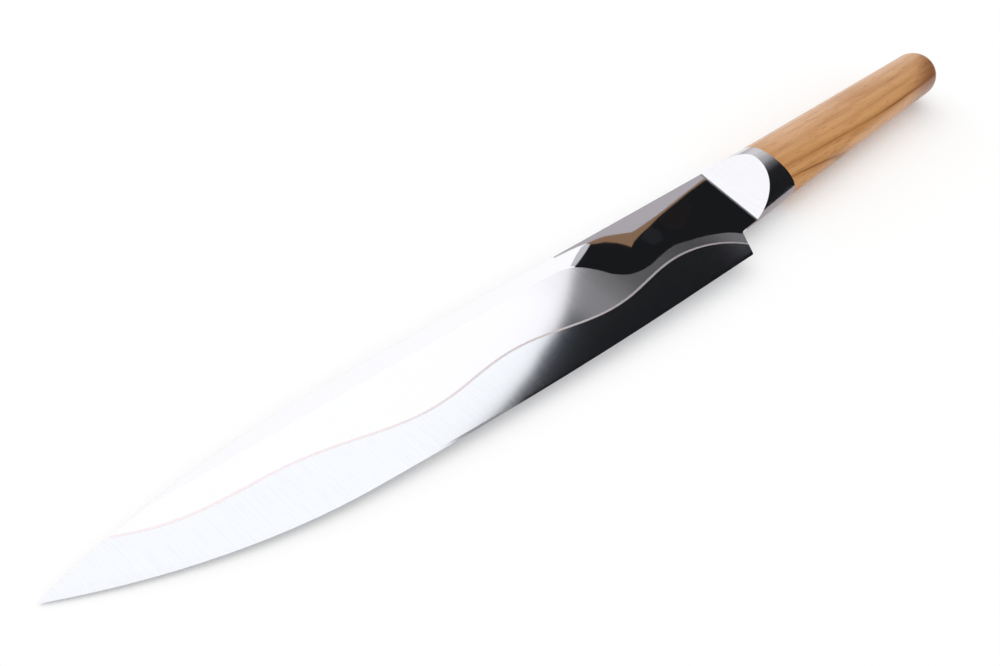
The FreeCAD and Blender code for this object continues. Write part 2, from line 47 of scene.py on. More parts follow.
class Piece(Enum):
    """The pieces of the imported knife."""

    BLADE_BODY = "blade_body"
    EDGE_STRIP = "edge_strip"
    BRAZE_SEAM = "braze_seam"
    NECK_WELD = "neck_weld"
    BOLSTER = "bolster"
    TANG_BAR = "tang_bar"
    TANG_SOLDER = "tang_solder"
    HANDLE = "handle"
    TANG_BEDDING = "tang_bedding"

    @property
    def solid(self) -> bpy.types.Object:
        """The piece's own object in the frame."""
        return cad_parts[self.value]


class Axis(Enum):
    """The way that a card's shades run."""

    ALONG_KNIFE = "X"
    ACROSS_KNIFE = "Y"


def linear(code: str) -> Colour:
    """Turn an sRGB hex colour into linear light.

    Args:
        code: colour as "#rrggbb".

    Returns:
        Red, green, blue and a full alpha, in linear light.
    """
    shares = [int(code[start:start + 2], 16) / 255 for start in (1, 3, 5)]
    red, green, blue = (
        share / 12.92 if share <= 0.04045 else ((share + 0.055) / 1.055) ** 2.4 for share in shares
    )
    return red, green, blue, 1.0


def add(
    tree: bpy.types.NodeTree,
    kind: str,
    settings: Mapping[Any, Any] | None = None,
    links: Mapping[Any, bpy.types.NodeSocket] | None = None,
) -> bpy.types.Node:
    """Add one node with its settings and links.

    Args:
        tree: node tree that takes the node.
        kind: the node's type name, without the leading "ShaderNode".
        settings: values by input name or number, or by attribute name in small letters.
        links: sockets to join, by input name or number.

    Returns:
        The new node.
    """
    node = tree.nodes.new(f"ShaderNode{kind}")
    for key, setting in (settings or {}).items():
        if isinstance(key, str) and key.islower():
            setattr(node, key, setting)
        else:
            node.inputs[key].default_value = setting
    for key, socket in (links or {}).items():
        tree.links.new(socket, node.inputs[key])
    return node


def new_material(name: str) -> tuple[bpy.types.Material, bpy.types.NodeTree]:
    """Make an empty node material.

    Args:
        name: what the finish is.

    Returns:
        The material and its node tree.
    """
    material = bpy.data.materials.new(name)
    material.use_nodes = True
    material.node_tree.nodes.clear()
    return material, material.node_tree


def dress(piece: Piece, material: bpy.types.Material) -> None:
    """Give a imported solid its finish.

    Args:
        piece: which solid.
        material: its finish.
    """
    piece.solid.material_slots[0].material = material
    log.info("dressed %s in %s", piece.value, material.name)


@dataclass(frozen=True)
class BladeSteel:
    """Stainless steel, ground across the blade and then buffed to a mirror behind one wavy line.

    The buffed part gives sharp, dark reflections. The ground part keeps fine lines that smear them
    and veil them in grey.
    """

    name: str = "stainless_steel_ground_and_buffed"
    buffed: str = "#d9d9dc"
    ground: str = "#dcdce1"
    mirror_roughness: float = 0.016
    mirror_swing: float = 0.5
    ground_roughness: float = 0.085
    ground_swing: float = 0.07
    # Faint clouds that buffing leaves, this many to a millimetre.
    haze_per_mm: float = 0.12
    haze_detail: float = 2.0
    # Grinding leaves lines about 0.05 mm apart. They are drawn 0.6 mm apart, to show at all.
    line_mm: Triple = (0.6, 14.0, 14.0)
    line_depth_mm: float = 0.02
    line_relief: float = 0.02
    # The finish changes along this stretch of the blade and stays the same beyond it.
    span_mm: Pair = (-112.0, 0.0)
    # The buffing line keeps between these places across the blade.
    depth_mm: Pair = (-40.0, 4.0)
    # Half the width over which the mirror gives way to the ground part.
    blend_mm: float = 0.25
    buffing_line_mm: Outline = (
        (-112.0, -5.0),
        (-90.0, -5.2),
        (-84.0, -5.4),
        (-78.0, -5.9),
        (-74.3, -7.4),
        (-70.1, -11.6),
        (-66.3, -17.0),
        (-62.0, -19.6),
        (-56.0, -20.4),
        (-49.0, -19.6),
        (-41.0, -18.8),
        (-33.0, -20.2),
        (-25.0, -22.6),
        (-19.0, -25.4),
        (-14.0, -29.4),
        (0.0, -36.0),
    )
    # Share of scattered light in the ground part along the blade: most where the mirror starts.
    veil: Outline = (
        (-112.0, 0.02),
        (-97.0, 0.045),
        (-83.0, 0.29),
        (-70.0, 0.19),
        (-64.0, 0.13),
        (-52.0, 0.115),
        (-40.0, 0.085),
        (-30.0, 0.085),
        (-25.0, 0.115),
        (-19.0, 0.16),
        (0.0, 0.16),
    )

    def material(self) -> bpy.types.Material:
        """Build the finish.

        Returns:
            The material, with the buffed part masked by the wavy line in millimetres.
        """
        material, tree = new_material(self.name)
        coordinates = add(tree, "TexCoord")
        place = add(tree, "Mapping", {"Scale": IN_MM}, {"Vector": coordinates.outputs["Object"]})
        axes = add(tree, "SeparateXYZ", None, {"Vector": place.outputs["Vector"]})
        along = add(
            tree,
            "MapRange",
            {"From Min": self.span_mm[0], "From Max": self.span_mm[1]},
            {"Value": axes.outputs["X"]},
        )
        buffed = self.mask(tree, axes, along)
        lines_place = add(
            tree,
            "Mapping",
            {"Scale": tuple(1 / MM / size for size in self.line_mm)},
            {"Vector": coordinates.outputs["Object"]},
        )
        lines = add(tree, "TexNoise", LINES, {"Vector": lines_place.outputs["Vector"]})
        haze = add(
            tree,
            "TexNoise",
            {"Scale": self.haze_per_mm, "Detail": self.haze_detail},
            {"Vector": place.outputs["Vector"]},
        )
        ground_roughness = add(
            tree,
            "MapRange",
            {
                "To Min": (1 - self.ground_swing) * self.ground_roughness,
                "To Max": (1 + self.ground_swing) * self.ground_roughness,
            },
            {"Value": lines.outputs["Fac"]},
        )
        mirror_roughness = add(
            tree,
            "MapRange",
            {
                "To Min": (1 - self.mirror_swing) * self.mirror_roughness,
                "To Max": (1 + self.mirror_swing) * self.mirror_roughness,
            },
            {"Value": haze.outputs["Fac"]},
        )
        roughness = add(
            tree,
            "Mix",
            None,
            {
                "Factor": buffed,
                "A": ground_roughness.outputs["Result"],
                "B": mirror_roughness.outputs["Result"],
            },
        )
        veil = add(tree, "FloatCurve", None, {"Value": along.outputs["Result"]})
        self.draw(veil, self.veil, (0.0, 1.0))
        unveiled = add(tree, "Math", {"operation": "SUBTRACT", 0: 1.0}, {1: veil.outputs["Value"]})
        metallic = add(
            tree, "Math", {"operation": "MAXIMUM"}, {0: unveiled.outputs["Value"], 1: buffed}
        )
        colour = add(
            tree,
            "Mix",
            {"data_type": "RGBA", MIX_A: linear(self.ground), MIX_B: linear(self.buffed)},
            {MIX_FACTOR: buffed},
        )
        relief = add(tree, "MapRange", {"To Min": self.line_relief, "To Max": 0.0}, {"Value": buffed})
        bump = add(
            tree,
            "Bump",
            {"Distance": self.line_depth_mm * MM},
            {"Strength": relief.outputs["Result"], "Height": lines.outputs["Fac"]},
        )
        shader = add(
            tree,
            "BsdfPrincipled",
            None,
            {
                "Base Color": colour.outputs[MIX_RESULT],
                "Metallic": metallic.outputs["Value"],
                "Roughness": roughness.outputs["Result"],
                "Normal": bump.outputs["Normal"],
            },
        )
        add(tree, "OutputMaterial", None, {"Surface": shader.outputs["BSDF"]})
        return material

    def mask(
        self, tree: bpy.types.NodeTree, axes: bpy.types.Node, along: bpy.types.Node
    ) -> bpy.types.NodeSocket:
        """Tell the buffed part from the ground part by the buffing line.

        Args:
            tree: the finish's node tree.
            axes: node that gives the place in millimetres, axis by axis.
            along: node that gives the share of the span along the blade.

        Returns:
            A socket that is 1 on the buffed part and 0 on the ground part.
        """
        low, high = self.depth_mm
        line = add(tree, "FloatCurve", None, {"Value": along.outputs["Result"]})
        self.draw(line, self.buffing_line_mm, self.depth_mm)
        height = add(tree, "MapRange", {"From Min": low, "From Max": high}, {"Value": axes.outputs["Y"]})
        over = add(
            tree,
            "Math",
            {"operation": "SUBTRACT"},
            {0: height.outputs["Result"], 1: line.outputs["Value"]},
        )
        blend = self.blend_mm / (high - low)
        buffed = add(
            tree,
            "MapRange",
            {"interpolation_type": "SMOOTHSTEP", "From Min": -blend, "From Max": blend},
            {"Value": over.outputs["Value"]},
        )
        return buffed.outputs["Result"]

    def draw(self, node: bpy.types.Node, points: Outline, reach: Pair) -> None:
        """Put a line along the blade into a curve node, as shares of the span and of its own reach.

        Args:
            node: the curve node.
            points: the line, each point in millimetres along the blade and in the line's own unit.
            reach: the lowest and the highest value that the curve can hold.
        """
        start, end = self.span_mm
        low, high = reach
        curve = node.mapping.curves[0]
        while len(curve.points) < len(points):
            curve.points.new(0.5, 0.5)
        for point, (x, y) in zip(curve.points, points):
            point.location = ((x - start) / (end - start), (y - low) / (high - low))
        node.mapping.update()


@dataclass(frozen=True)
class PlainFinish:
    """One finish all over: a metal as it was ground, buffed, rolled or run, or an adhesive as it set.

    Its marks smear reflections and make a soft highlight, long where they are drawn out. Real ones are
    mostly under 0.1 mm apart. They are drawn as coarse as their size here, to show at all.
    """

    name: str
    colour: str
    roughness: float
    roughness_swing: float
    mark_mm: Triple
    mark_relief: float
    metallic: float = 1.0
    mark_depth_mm: float = 0.02
    shade_swing: float = 0.06

    def material(self) -> bpy.types.Material:
        """Build the finish.

        Returns:
            The material, its marks stretched by their size along each axis.
        """
        material, tree = new_material(self.name)
        coordinates = add(tree, "TexCoord")
        place = add(
            tree,
            "Mapping",
            {"Scale": tuple(1 / MM / size for size in self.mark_mm)},
            {"Vector": coordinates.outputs["Object"]},
        )
        marks = add(tree, "TexNoise", LINES, {"Vector": place.outputs["Vector"]})
        roughness = add(
            tree,
            "MapRange",
            {
                "To Min": self.roughness - self.roughness_swing,
                "To Max": self.roughness + self.roughness_swing,
            },
            {"Value": marks.outputs["Fac"]},
        )
        shade = add(
            tree,
            "MapRange",
            {"To Min": 1 - self.shade_swing, "To Max": 1 + self.shade_swing},
            {"Value": marks.outputs["Fac"]},
        )
        colour = add(
            tree, "HueSaturation", {"Color": linear(self.colour)}, {"Value": shade.outputs["Result"]}
        )
        bump = add(
            tree,
            "Bump",
            {"Strength": self.mark_relief, "Distance": self.mark_depth_mm * MM},
            {"Height": marks.outputs["Fac"]},
        )
        shader = add(
            tree,
            "BsdfPrincipled",
            {"Metallic": self.metallic},
            {
                "Base Color": colour.outputs["Color"],
                "Roughness": roughness.outputs["Result"],
                "Normal": bump.outputs["Normal"],
            },
        )
        add(tree, "OutputMaterial", None, {"Surface": shader.outputs["BSDF"]})
        return material


# High-carbon steel, ground across the edge on a fine belt: dark where it faces the dark, softly smeared.
EDGE_STEEL = PlainFinish(
    name="carbon_steel_fine_ground",
    colour="#d6d8dd",
    roughness=0.075,
    roughness_swing=0.012,
    mark_mm=(0.7, 12.0, 12.0),
    mark_relief=0.05,
)
# Copper run into the joint and ground flush: a pale pinkish thread.
BRAZE = PlainFinish(
    name="copper_braze_ground_flush",
    colour="#e0d6d8",
    roughness=0.30,
    roughness_swing=0.05,
    mark_mm=(0.8, 6.0, 6.0),
    mark_relief=0.04,
    metallic=0.86,
)
# Weld filler ground flush and buffed with the bolster: no more than a hairline.
WELD = PlainFinish(
    name="steel_weld_ground_flush",
    colour="#bdbdc2",
    roughness=0.12,
    roughness_swing=0.03,
    mark_mm=(1.0, 3.0, 3.0),
    mark_relief=0.04,
)
# Stainless steel, turned and buffed: a mirror with faint lines round the handle's axis.
BOLSTER_STEEL = PlainFinish(
    name="stainless_steel_buffed",
    colour="#d6d6da",
    roughness=0.15,
    roughness_swing=0.03,
    mark_mm=(0.5, 9.0, 9.0),
    mark_relief=0.03,
)
# Bar stock as rolled: dull, with long mill lines.
TANG_STEEL = PlainFinish(
    name="mild_steel_as_rolled",
    colour="#8d8d90",
    roughness=0.5,
    roughness_swing=0.1,
    mark_mm=(8.0, 0.8, 0.8),
    mark_relief=0.2,
)
# Silver solder as it ran: soft grey and slightly uneven.
SOLDER = PlainFinish(
    name="silver_solder_as_run",
    colour="#b5b3ad",
    roughness=0.4,
    roughness_swing=0.1,
    mark_mm=(1.5, 1.5, 1.5),
    mark_relief=0.3,
)
# Epoxy set in the mortise: matt, cream-grey and slightly mottled.
EPOXY = PlainFinish(
    name="epoxy_set",
    colour="#b8ad92",
    roughness=0.6,
    roughness_swing=0.08,
    mark_mm=(2.0, 2.0, 2.0),
    mark_relief=0.3,
    metallic=0.0,
)


@dataclass(frozen=True)
class Grain:
    """One kind of mark in the wood, drawn out along the handle, and the tone that it gives."""

    size_mm: Triple
    tone: str
    # Noise up to the first of these leaves no mark, and from the second on a full one.
    spread: Pair
    # Share of the tone in a full mark.
    share: float
    detail: float = 3.0

    def noise(self, tree: bpy.types.NodeTree, place: bpy.types.Node) -> bpy.types.Node:
        """Scatter the marks.

        Args:
            tree: the wood's node tree.
            place: node that gives the place in millimetres.

        Returns:
            The noise node.
        """
        drawn_out = add(
            tree,
            "Mapping",
            {"Scale": tuple(1 / size for size in self.size_mm)},
            {"Vector": place.outputs["Vector"]},
        )
        return add(
            tree,
            "TexNoise",
            {"Scale": 1.0, "Detail": self.detail},
            {"Vector": drawn_out.outputs["Vector"]},
        )

    def tint(
        self, tree: bpy.types.NodeTree, noise: bpy.types.Node, colour: bpy.types.NodeSocket
    ) -> bpy.types.NodeSocket:
        """Lay the marks over the wood.

        Args:
            tree: the wood's node tree.
            noise: the noise that scatters the marks.
            colour: the wood's colour without them.

        Returns:
            The colour with them.
        """
        amount = add(
            tree,
            "MapRange",
            {"From Min": self.spread[0], "From Max": self.spread[1], "To Max": self.share},
            {"Value": noise.outputs["Fac"]},
        )
        tinted = add(
            tree,
            "Mix",
            {"data_type": "RGBA", MIX_B: linear(self.tone)},
            {MIX_FACTOR: amount.outputs["Result"], MIX_A: colour},
        )
        return tinted.outputs[MIX_RESULT]


@dataclass(frozen=True)
class Wood:
    """Cherry, turned, sanded and satin varnished.

    Growth rings cut on edge give straight lines along the handle, dark on the lower flank and faint to
    the top, which is painted paler as a highlight from the light above. The butt is darker, partly end
    grain and partly painted shade. Streaks and pores fleck it, and the varnish gives a soft pale sheen
    at glancing angles.
    """

    name: str = "cherry_turned_and_varnished"
    early: str = "#d49c63"
    middle: str = "#c0864e"
    late: str = "#7d4820"
    # Painted highlight: the paler tone painted over the top of the handle, where the light falls.
    painted_lit_top: str = "#dcae86"
    # Darker tone at the butt: end grain, with painted shade over its lower side.
    butt: str = "#74391a"
    roughness: float = 0.42
    # Pores change the roughness from the first to the second of these.
    roughness_swing: Pair = (-0.05, 0.08)
    specular: float = 0.2
    coat: float = 0.40
    coat_roughness: float = 0.20
    ring_mm: float = 3.6
    ring_phase: float = 1.12
    # Where in each ring the early wood starts and ends, and where middle and late wood lie.
    ring_stops: tuple[float, float, float, float] = (0.28, 0.55, 0.80, 0.91)
    # The rings bow upward to both ends of the handle, round a line this far above it.
    bow_mm: Triple = (-55.0, -1068.0, 0.0)
    drift_mm: float = 1.2
    # The wood is painted palest above the first of these heights, a painted highlight where the light
    # falls, and full-coloured below the second.
    painted_lit_top_mm: Pair = (-4.0, -17.0)
    # Ring lines are faint above the first of these heights of the bow's foot and dark below the second.
    line_mm: Pair = (-15.6, -17.6)
    line_share: Pair = (0.25, 0.95)
    patches: Grain = Grain((48.0, 5.0, 5.0), middle, (0.44, 0.64), 0.60)
    streaks: Grain = Grain((40.0, 1.3, 1.3), "#b07a47", (0.50, 0.70), 0.40)
    # Pores are 0.05 mm wide. They are drawn 0.45 mm wide, to show at all.
    pores: Grain = Grain((6.0, 0.45, 0.45), "#7a4a24", (0.58, 0.74), 0.50)
    pore_relief: float = 0.12
    pore_depth_mm: float = 0.05
    # The butt darkens between these places, partly end grain and partly painted shade.
    # For every millimetre down, they move by the slant to the tip.
    butt_mm: Pair = (150.0, 172.0)
    butt_slant: float = 2.0
    butt_share: float = 0.72

    def material(self) -> bpy.types.Material:
        """Build the finish.

        Returns:
            The material, with bowed rings, streaks, pores, a painted highlight over the top and a butt
            darkened by end grain and painted shade.
        """
        material, tree = new_material(self.name)
        coordinates = add(tree, "TexCoord")
        place = add(tree, "Mapping", {"Scale": IN_MM}, {"Vector": coordinates.outputs["Object"]})
        axes = add(tree, "SeparateXYZ", None, {"Vector": place.outputs["Vector"]})
        grains = (self.patches, self.streaks, self.pores)
        patches, streaks, pores = (grain.noise(tree, place) for grain in grains)
        drift = add(
            tree,
            "VectorMath",
            {"operation": "MULTIPLY_ADD", 1: (0.0, self.drift_mm, 0.0)},
            {0: patches.outputs["Color"], 2: place.outputs["Vector"]},
        )
        rings_place = add(tree, "Mapping", {"Location": self.bow_mm}, {"Vector": drift.outputs["Vector"]})
        radius = add(tree, "VectorMath", {"operation": "LENGTH"}, {0: rings_place.outputs["Vector"]})
        colour = self.ringed(tree, axes, rings_place, radius)
        for grain, noise in zip(grains, (patches, streaks, pores)):
            colour = grain.tint(tree, noise, colour)
        colour = self.ended(tree, axes, radius, colour)
        roughness = add(
            tree,
            "MapRange",
            {
                "To Min": self.roughness + self.roughness_swing[0],
                "To Max": self.roughness + self.roughness_swing[1],
            },
            {"Value": pores.outputs["Fac"]},
        )
        bump = add(
            tree,
            "Bump",
            {"Strength": self.pore_relief, "Distance": self.pore_depth_mm * MM},
            {"Height": pores.outputs["Fac"]},
        )
        shader = add(
            tree,
            "BsdfPrincipled",
            {
                "Specular IOR Level": self.specular,
                "Coat Weight": self.coat,
                "Coat Roughness": self.coat_roughness,
            },
            {
                "Base Color": colour,
                "Roughness": roughness.outputs["Result"],
                "Normal": bump.outputs["Normal"],
            },
        )
        add(tree, "OutputMaterial", None, {"Surface": shader.outputs["BSDF"]})
        return material

    def ringed(
        self,
        tree: bpy.types.NodeTree,
        axes: bpy.types.Node,
        rings_place: bpy.types.Node,
        radius: bpy.types.Node,
    ) -> bpy.types.NodeSocket:
        """Colour the growth rings, faint where the top is painted paler as a highlight and dark on the
        lower flank.

        Args:
            tree: the finish's node tree.
            axes: node that gives the place in millimetres, axis by axis.
            rings_place: node that gives the place from the rings' centre.
            radius: node that gives the distance from it.

        Returns:
            The rings' colour.
        """
        rings = add(
            tree,
            "TexWave",
            {
                "wave_type": "RINGS",
                "rings_direction": "Z",
                "wave_profile": "SAW",
                "Scale": math.tau / WAVE_RATE / self.ring_mm,
                "Phase Offset": self.ring_phase,
            },
            {"Vector": rings_place.outputs["Vector"]},
        )
        tones = add(tree, "ValToRGB", None, {"Fac": rings.outputs["Fac"]})
        ramp = tones.color_ramp
        for end in ramp.elements:
            end.color = linear(self.middle)
        for position, tone in zip(self.ring_stops, (self.early, self.early, self.middle, self.late)):
            ramp.elements.new(position).color = linear(tone)
        # Painted highlight: the wood is painted paler towards the top of the handle, where the light
        # falls.
        depth = add(
            tree,
            "MapRange",
            {"From Min": self.painted_lit_top_mm[0], "From Max": self.painted_lit_top_mm[1]},
            {"Value": axes.outputs["Y"]},
        )
        plain = add(
            tree,
            "Mix",
            {"data_type": "RGBA", MIX_A: linear(self.painted_lit_top), MIX_B: linear(self.early)},
            {MIX_FACTOR: depth.outputs["Result"]},
        )
        lined = add(
            tree,
            "MapRange",
            {
                "From Min": -self.bow_mm[1] - self.line_mm[0],
                "From Max": -self.bow_mm[1] - self.line_mm[1],
                "To Min": self.line_share[0],
                "To Max": self.line_share[1],
            },
            {"Value": radius.outputs["Value"]},
        )
        ringed = add(
            tree,
            "Mix",
            {"data_type": "RGBA"},
            {
                MIX_FACTOR: lined.outputs["Result"],
                MIX_A: plain.outputs[MIX_RESULT],
                MIX_B: tones.outputs["Color"],
            },
        )
        return ringed.outputs[MIX_RESULT]

    def ended(
        self,
        tree: bpy.types.NodeTree,
        axes: bpy.types.Node,
        radius: bpy.types.Node,
        colour: bpy.types.NodeSocket,
    ) -> bpy.types.NodeSocket:
        """Darken the wood at the butt, partly end grain where the cut crosses the grain and partly
        painted shade, more on the lower side.

        Args:
            tree: the finish's node tree.
            axes: node that gives the place in millimetres, axis by axis.
            radius: node that gives the distance from the rings' centre.
            colour: the wood's colour without it.

        Returns:
            The colour with it.
        """
        slanted = add(
            tree,
            "Math",
            {"operation": "MULTIPLY_ADD", 1: self.butt_slant},
            {0: radius.outputs["Value"], 2: axes.outputs["X"]},
        )
        amount = add(
            tree,
            "MapRange",
            {
                "interpolation_type": "SMOOTHSTEP",
                "From Min": self.butt_mm[0] - self.butt_slant * self.bow_mm[1],
                "From Max": self.butt_mm[1] - self.butt_slant * self.bow_mm[1],
                "To Max": self.butt_share,
            },
            {"Value": slanted.outputs["Value"]},
        )
        ended = add(
            tree,
            "Mix",
            {"data_type": "RGBA", MIX_B: linear(self.butt)},
            {MIX_FACTOR: amount.outputs["Result"], MIX_A: colour},
        )
        return ended.outputs[MIX_RESULT]


@dataclass
class Blade:
    """Blade body, edge strip, the seam between them and the weld at the neck."""

    body: BladeSteel = BladeSteel()
    edge: PlainFinish = EDGE_STEEL
    seam: PlainFinish = BRAZE
    weld: PlainFinish = WELD

    def dress(self) -> None:
        """Give each piece of the blade its finish."""
        dress(Piece.BLADE_BODY, self.body.material())
        dress(Piece.EDGE_STRIP, self.edge.material())
        dress(Piece.BRAZE_SEAM, self.seam.material())
        dress(Piece.NECK_WELD, self.weld.material())


@dataclass
class Grip:
    """Bolster and wood handle, with the tang, its solder and its bedding inside them."""

    bolster: PlainFinish = BOLSTER_STEEL
    wood: Wood = Wood()
    tang: PlainFinish = TANG_STEEL
    solder: PlainFinish = SOLDER
    bedding: PlainFinish = EPOXY

    def dress(self) -> None:
        """Give each piece of the grip its finish."""
        dress(Piece.BOLSTER, self.bolster.material())
        dress(Piece.HANDLE, self.wood.material())
        dress(Piece.TANG_BAR, self.tang.material())
        dress(Piece.TANG_SOLDER, self.solder.material())
        dress(Piece.TANG_BEDDING, self.bedding.material())


@dataclass(frozen=True)
class Eye:
    """The camera's place, aim and lens."""

    place_mm: Triple = (-315.05, -160.10, 215.21)
    right: Triple = (0.679493, -0.719070, 0.145694)
    up: Triple = (0.404269, 0.532668, 0.743526)
    back: Triple = (-0.612254, -0.446321, 0.652642)
    lens_mm: float = 43.19
    sensor_mm: float = 36.0
    near_mm: float = 10.0

    def build(self) -> bpy.types.Object:
        """Make the camera and use it.

        Returns:
            The camera object.
        """
        data = bpy.data.cameras.new("camera")
        data.lens = self.lens_mm
        data.sensor_width = self.sensor_mm
        data.clip_start = self.near_mm * MM
        camera = bpy.data.objects.new("camera", data)
        turn = Matrix((self.right, self.up, self.back)).transposed().to_4x4()
        camera.matrix_world = Matrix.Translation(Vector(self.place_mm) * MM) @ turn
        bpy.context.scene.collection.objects.link(camera)
        bpy.context.scene.camera = camera
        log.info("aimed the camera")
        return camera


@dataclass(frozen=True)
class BladeFace:
    """The blade's left face as a plane mirror, thinning a little to the edge and to the tip."""

    height_mm: float = 1.25
    edge_slope: float = 0.02747
    tip_slope: float = 0.000995

    def point(self, spot: Pair) -> Vector:
        """The point of the face at a spot along and across the blade, in millimetres."""
        return Vector((*spot, self.height_mm + self.tip_slope * spot[0] + self.edge_slope * spot[1]))

    def mirror(self, place: Vector) -> Vector:
        """The mirror image of a place, in millimetres."""
        normal = Vector((-self.tip_slope, -self.edge_slope, 1.0)).normalized()
        return place - 2 * (place - self.point((0.0, 0.0))).dot(normal) * normal


def plain(colour: str) -> Shades:
    """One shade for the whole of a card."""
    return ((0.0, colour),)


def flat_sheet(name: str, corners: Sequence[Vector], material: bpy.types.Material) -> bpy.types.Object:
    """Cut a flat sheet for the stage.

    Args:
        name: what the sheet is.
        corners: its corners in order, in metres.
        material: its paint, or the glow of a card that paints a reflection.

    Returns:
        The sheet.
    """
    mesh = bpy.data.meshes.new(name)
    mesh.from_pydata(corners, [], [range(len(corners))])
    mesh.materials.append(material)
    sheet = bpy.data.objects.new(name, mesh)
    bpy.context.scene.collection.objects.link(sheet)
    log.info("set up %s", name)
    return sheet


@dataclass(frozen=True)
class Card:
    """A flat glowing card that only reflections see, cut to corners in millimetres, which paints a
    reflection.

    Its shades run along one axis, each given with its place in millimetres.
    """

    name: str
    shades: Shades
    corners_mm: tuple[Triple, ...] = ()
    axis: Axis = Axis.ACROSS_KNIFE

    def corners(self, eye: Eye) -> list[Vector]:
        """The card's corners in millimetres, the same for every camera."""
        return [Vector(corner) for corner in self.corners_mm]

    def painted_glow(self) -> bpy.types.Material:
        """Make the glow of the card's own shades, a painted reflection.

        Returns:
            A material that glows with them.
        """
        material, tree = new_material(f"{self.name}_cloth")
        (first, first_tone), (last, last_tone) = self.shades[0], self.shades[-1]
        glow = add(tree, "Emission", {"Color": linear(first_tone)})
        if len(self.shades) > 1:
            axes = add(tree, "SeparateXYZ", None, {"Vector": add(tree, "TexCoord").outputs["Object"]})
            share = add(
                tree,
                "MapRange",
                {"From Min": first * MM, "From Max": last * MM},
                {"Value": axes.outputs[self.axis.value]},
            )
            tones = add(tree, "ValToRGB", None, {"Fac": share.outputs["Result"]})
            ramp = tones.color_ramp
            ramp.elements[0].color = linear(first_tone)
            ramp.elements[1].color = linear(last_tone)
            for place, tone in self.shades[1:-1]:
                ramp.elements.new((place - first) / (last - first)).color = linear(tone)
            tree.links.new(tones.outputs["Color"], glow.inputs["Color"])
        add(tree, "OutputMaterial", None, {"Surface": glow.outputs["Emission"]})
        return material

    def build(self, eye: Eye) -> bpy.types.Object:
        """Cut the card and hang it.

        Args:
            eye: the camera.

        Returns:
            The card.
        """
        card = flat_sheet(self.name, [corner * MM for corner in self.corners(eye)], self.painted_glow())
        # Painted reflection: the card glows only for glossy rays, unseen by the camera, lighting nothing
        # and casting no shadow.
        card.visible_camera = False
        card.visible_diffuse = False
        card.visible_shadow = False
        card.visible_transmission = False
        return card


@dataclass(frozen=True)
class Flag(Card):
    """An upright glowing card beyond the handle, a painted reflection, outlined where it shows on the
    blade's left face.

    A flag with a shorter reach hangs nearer to the blade and hides those behind it.
    """

    face: BladeFace = BladeFace()
    reach_mm: float = 550.0
    outline_mm: Outline = ()
    upright_mm: Outline = ()
    close_mm: Outline = ()

    def throw(self, eye: Eye, spot: Pair) -> Vector:
        """Find the point of the flag that the camera sees at a spot of the blade's left face.

        Args:
            eye: the camera.
            spot: place on the face, in millimetres along and across.

        Returns:
            The point on the flag, in millimetres.
        """
        mirrored = self.face.mirror(Vector(eye.place_mm))
        ray = self.face.point(spot) - mirrored
        return mirrored + ray * ((self.reach_mm - mirrored.x) / ray.x)

    def corners(self, eye: Eye) -> list[Vector]:
        """Throw the outline onto the flag and add the corners given on the flag itself.

        Args:
            eye: the camera.

        Returns:
            The corners in order, in millimetres.
        """
        points = [self.throw(eye, spot) for spot in self.outline_mm]
        points += [Vector((self.reach_mm, *corner)) for corner in self.upright_mm]
        return points + [self.throw(eye, spot) for spot in self.close_mm]


# Outlines of the painted reflections that the flags throw, in millimetres along and across the blade's
# left face.
FLAG_TOP: Outline = (
    (420.0, -2.0),
    (150.0, -2.2),
    (-2.6, -3.1),
    (-12.5, -3.9),
    (-25.8, -5.6),
    (-32.4, -6.5),
    (-39.4, -7.9),
    (-45.0, -8.8),
    (-49.2, -9.8),
    (-52.2, -11.1),
    (-52.9, -9.4),
    (-54.4, -7.1),
    (-57.1, -4.7),
    (-60.4, -3.4),
    (-62.1, -2.6),
)
FLAG_SIDE: Outline = ((-65.9, -4.1), (-70.6, -5.7), (-74.2, -6.8))
FLAG_FRONT: Outline = ((-77.5, -8.5), (-83.4, -12.8), (-90.6, -17.5))
FLAG_FOOT: Outline = (
    (-99.4, -22.0),
    (-111.3, -26.0),
    (-116.9, -28.7),
    (-131.2, -32.7),
    (-141.8, -35.0),
    (-160.0, -38.0),
)
BLUE_HEM: Outline = (
    (-146.0, -38.0),
    (-128.0, -35.0),
    (-117.0, -32.7),
    (-103.0, -28.7),
    (-97.0, -26.0),
    (-87.0, -22.0),
)
PALE_HEM: Outline = ((-75.4, -6.0), (-70.1, -3.6), (-65.5, -1.9), (-62.6, -1.7))
DIM_PATCH: Outline = ((-46.2, -9.8), (-39.0, -8.1), (-37.7, -10.8), (-40.5, -15.0), (-45.5, -14.4))
BROWN_PATCH: Outline = ((-34.4, -7.0), (-18.1, -6.6), (-16.7, -8.8), (-30.6, -15.1), (-34.5, -12.4))
HEEL_DIM: Outline = (
    (-27.0, -40.0),
    (-27.0, -23.2),
    (-23.0, -24.6),
    (-19.0, -26.6),
    (-15.0, -30.0),
    (-15.0, -40.0),
)
HEEL_PALE: Outline = ((-22.5, -33.0), (-22.5, -24.9), (-19.0, -26.6), (-15.0, -30.0), (-15.0, -33.0))
BROWN_REFLECTION_TOP: Outline = (
    (-63.0, -1.6),
    (-58.7, -2.0),
    (-55.3, -2.6),
    (-51.0, -4.3),
    (-47.7, -5.7),
    (-46.2, -6.3),
    (-44.2, -6.4),
    (-38.5, -6.0),
    (-32.2, -5.6),
    (-25.2, -4.8),
    (-12.2, -3.3),
    (-2.8, -2.3),
    (150.0, -1.2),
    (420.0, -1.0),
)
GREY_REFLECTION_SIDE: Outline = ((-76.0, -0.5), (-70.2, -0.8), (-66.6, -1.1))
GREY_REFLECTION_TOP: Outline = ((0.0, 24.0), (-50.0, 12.0), (-70.0, 4.0), (-77.0, 0.4))

